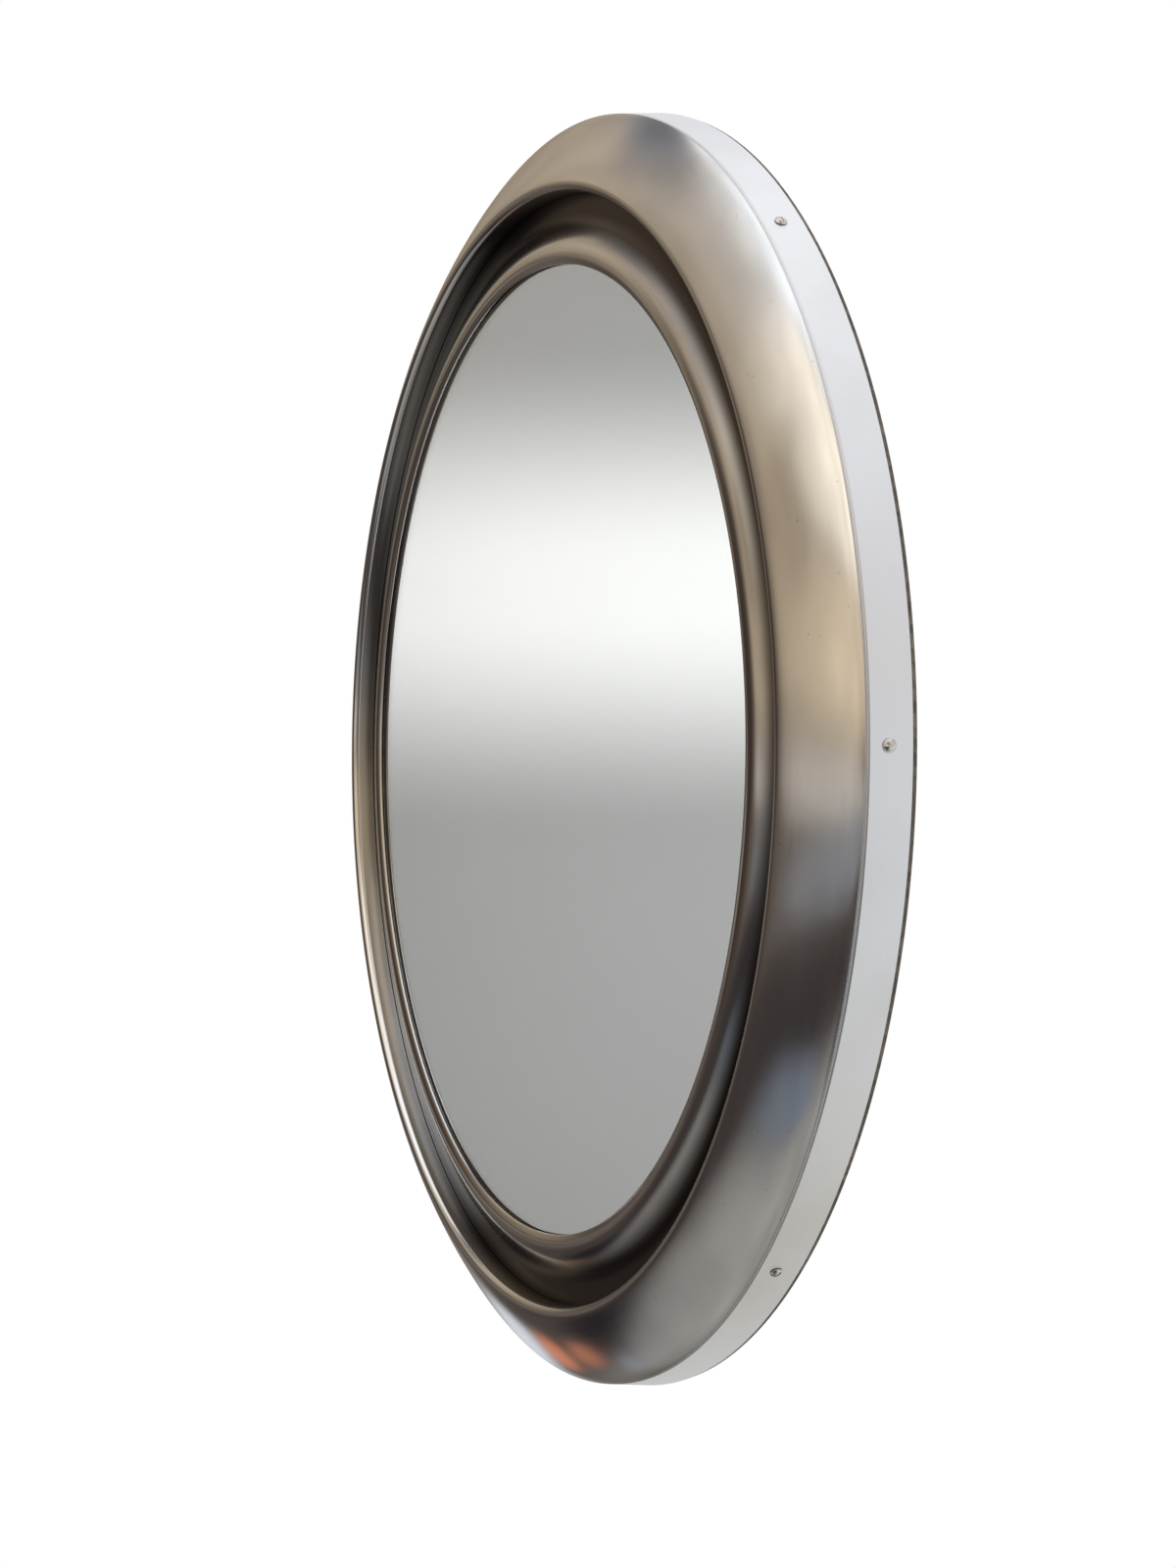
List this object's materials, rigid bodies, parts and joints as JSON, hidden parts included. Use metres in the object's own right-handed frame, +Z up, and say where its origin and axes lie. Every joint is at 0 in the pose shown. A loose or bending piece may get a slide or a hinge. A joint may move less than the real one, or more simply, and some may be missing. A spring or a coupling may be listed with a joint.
{
  "type": "round wall mirror",
  "caption": "Round wall mirror in a deep two-step ring of polished spun metal, with a screwed satin side band and D rings at the back.",
  "frame": {"origin": "on the wall plane, on the mirror's axis", "axes": "+Z up, -Y the way the glass faces, +Y into the wall, +X to the right of someone facing the glass"},
  "size_m": [0.651, 0.0528, 0.651],
  "materials": {
    "polished_nickel": "polished",
    "satin_nickel": "satin",
    "nickel_screw": "worn polish",
    "zinc_steel": "zinc plated",
    "silvered_glass": "silvered",
    "raw_board": "raw chipboard, dark stained edge",
    "packing_board": "raw fibreboard",
    "felt": "felt",
    "rubber": "matt"
  },
  "bodies": {
    "mirror": {"mirror_glass": "silvered_glass", "felt_pad": "felt", "packing_disc": "packing_board", "inner_ring": "polished_nickel", "outer_ring": "polished_nickel", "side_band": "satin_nickel", "back_board": "raw_board", "band_screw_1": "nickel_screw", "band_screw_2": "nickel_screw", "band_screw_3": "nickel_screw", "band_screw_4": "nickel_screw", "band_screw_5": "nickel_screw", "band_screw_6": "nickel_screw", "band_screw_7": "nickel_screw", "band_screw_8": "nickel_screw", "rim_screw_1": "zinc_steel", "rim_screw_2": "zinc_steel", "rim_screw_3": "zinc_steel", "rim_screw_4": "zinc_steel", "rim_screw_5": "zinc_steel", "rim_screw_6": "zinc_steel", "rim_screw_7": "zinc_steel", "rim_screw_8": "zinc_steel", "packing_screw_1": "zinc_steel", "packing_screw_2": "zinc_steel", "packing_screw_3": "zinc_steel", "packing_screw_4": "zinc_steel", "packing_screw_5": "zinc_steel", "packing_screw_6": "zinc_steel", "hanger_plate_left": "zinc_steel", "hanger_plate_right": "zinc_steel", "hanger_screw_1": "zinc_steel", "hanger_screw_2": "zinc_steel", "hanger_screw_3": "zinc_steel", "hanger_screw_4": "zinc_steel", "bumper_1": "rubber", "bumper_2": "rubber", "bumper_3": "rubber", "bumper_4": "rubber"},
    "ring_left": {"hanger_ring_left": "zinc_steel"},
    "ring_right": {"hanger_ring_right": "zinc_steel"}
  },
  "joints": [
    {"name": "ring_left_swing", "type": "hinge", "parent": "mirror", "child": "ring_left", "pos_m": [-0.15, -0.00405, 0.185], "axis": [1, 0, 0], "range_deg": [0, 180]},
    {"name": "ring_right_swing", "type": "hinge", "parent": "mirror", "child": "ring_right", "pos_m": [0.15, -0.00405, 0.185], "axis": [1, 0, 0], "range_deg": [0, 180]}
  ]
}
